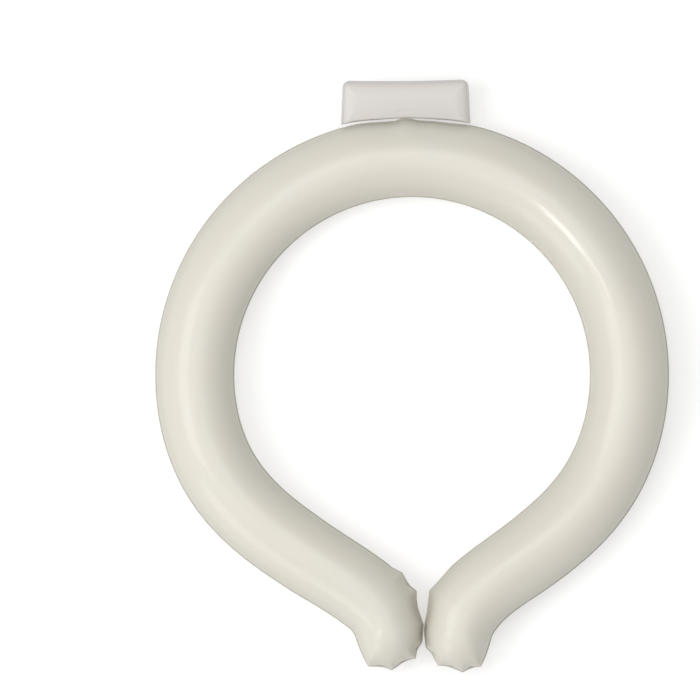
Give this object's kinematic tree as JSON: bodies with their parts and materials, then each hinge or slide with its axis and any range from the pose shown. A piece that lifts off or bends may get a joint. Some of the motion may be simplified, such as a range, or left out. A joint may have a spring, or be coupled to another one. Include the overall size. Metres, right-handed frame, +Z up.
{
  "type": "neck cooler",
  "caption": "Soft open ring of film filled with phase-change wax, worn round the neck to cool it, with a small flat tab at the nape.",
  "frame": {"origin": "On the surface that the ring lies on, under the middle of its bounding box", "axes": "+Z up through the ring's opening, +Y from the two ends at the front to the tab at the nape, +X to the wearer's side that is right when seen from above with the tab away from the viewer"},
  "size_m": [0.161, 0.1868, 0.0234],
  "materials": {
    "film": "satin film",
    "filling": "wax",
    "tab_film": "satin film"
  },
  "bodies": {
    "root": {"upper_film": "film", "lower_film": "film", "cooling_fill": "filling", "nape_tab": "tab_film"}
  },
  "joints": []
}
